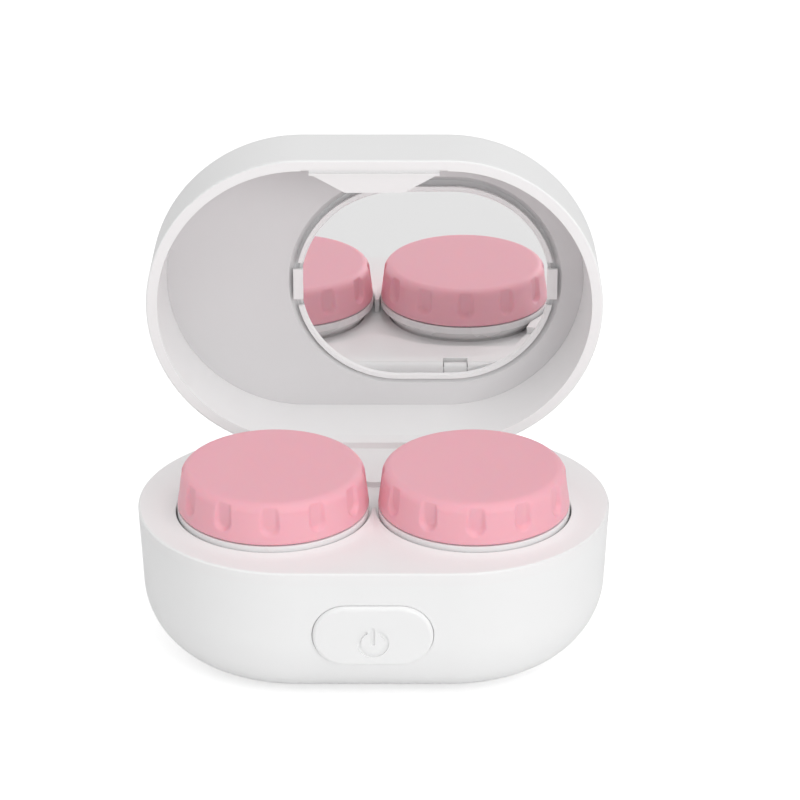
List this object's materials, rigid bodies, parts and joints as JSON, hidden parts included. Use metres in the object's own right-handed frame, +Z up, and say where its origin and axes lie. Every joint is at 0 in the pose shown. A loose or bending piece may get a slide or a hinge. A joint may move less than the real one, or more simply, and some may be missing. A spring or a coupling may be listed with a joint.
{
  "type": "contact lens cleaner",
  "caption": "Rounded white pod for cleaning contact lenses, with lens cups under pink fluted screw caps, a power button and a hinged lid with a mirror inside.",
  "frame": {"origin": "centre of the base where it stands on the table", "axes": "+X to the right seen from the front, -Y towards the front with the power button, +Z up"},
  "size_m": [0.086, 0.0782, 0.0832],
  "materials": {
    "white_plastic": "satin",
    "inner_plastic": "matte",
    "cup_plastic": "satin",
    "pink_plastic": "satin",
    "mirror": "polished",
    "dark_foam": "foam",
    "seal_rubber": "matte",
    "foot_rubber": "matte",
    "steel": "brushed",
    "piezo_ceramic": "fired",
    "board_laminate": "solder mask",
    "component": "moulded",
    "magnet": "plated",
    "battery_foil": "foil"
  },
  "bodies": {
    "base": {"base_shell": "white_plastic", "top_deck": "white_plastic", "bottom_cover": "white_plastic", "cover_screws": "steel", "rubber_feet": "foot_rubber", "main_board": "board_laminate", "board_parts": "component", "board_screws": "steel", "battery": "battery_foil", "battery_pad": "dark_foam", "usb_socket": "steel", "left_transducer_plate": "steel", "right_transducer_plate": "steel", "left_piezo_disc": "piezo_ceramic", "right_piezo_disc": "piezo_ceramic", "switch_board": "board_laminate", "power_switch": "component", "base_magnet": "magnet", "hinge_pin": "steel"},
    "button": {"power_button": "white_plastic"},
    "lid": {"lid_shell": "white_plastic", "lid_liner": "inner_plastic", "mirror_frame": "inner_plastic", "mirror_glass": "mirror", "mirror_backing": "inner_plastic", "lid_catch": "inner_plastic", "lid_magnet": "magnet"},
    "left_cup": {"left_lens_cup": "cup_plastic"},
    "left_seal": {"left_cap_seal": "seal_rubber"},
    "left_cap": {"left_cap": "pink_plastic"},
    "right_cup": {"right_lens_cup": "cup_plastic"},
    "right_seal": {"right_cap_seal": "seal_rubber"},
    "right_cap": {"right_cap": "pink_plastic"}
  },
  "joints": [
    {"name": "lid_hinge", "type": "hinge", "parent": "base", "child": "lid", "pos_m": [0, 0.0273, 0.0267], "axis": [-1, 0, 0], "range_deg": [-91.2, 0]},
    {"name": "button_press", "type": "slide", "parent": "base", "child": "button", "axis": [0, 0.999, 0.0436], "range_m": [0, 0.0004], "stiffness_N_per_m": 400},
    {"name": "left_cup_lift", "type": "slide", "parent": "base", "child": "left_cup", "axis": [0, 0, 1], "range_m": [0, 0.012]},
    {"name": "left_cap_turn", "type": "hinge", "parent": "left_cup", "child": "left_seal", "pos_m": [-0.01818, -0.0041, 0.0352], "axis": [0, 0, 1], "range_deg": [0, 270]},
    {"name": "left_cap_rise", "type": "slide", "parent": "left_seal", "child": "left_cap", "axis": [0, 0, 1], "range_m": [0, 0.003]},
    {"name": "right_cup_lift", "type": "slide", "parent": "base", "child": "right_cup", "axis": [0, 0, 1], "range_m": [0, 0.012]},
    {"name": "right_cap_turn", "type": "hinge", "parent": "right_cup", "child": "right_seal", "pos_m": [0.01818, -0.0041, 0.0352], "axis": [0, 0, 1], "range_deg": [0, 270]},
    {"name": "right_cap_rise", "type": "slide", "parent": "right_seal", "child": "right_cap", "axis": [0, 0, 1], "range_m": [0, 0.003]}
  ],
  "couplings": [
    {"joint": "left_cap_rise", "follows": "left_cap_turn", "m_per_rad": 0.0006366},
    {"joint": "right_cap_rise", "follows": "right_cap_turn", "m_per_rad": 0.0006366}
  ]
}
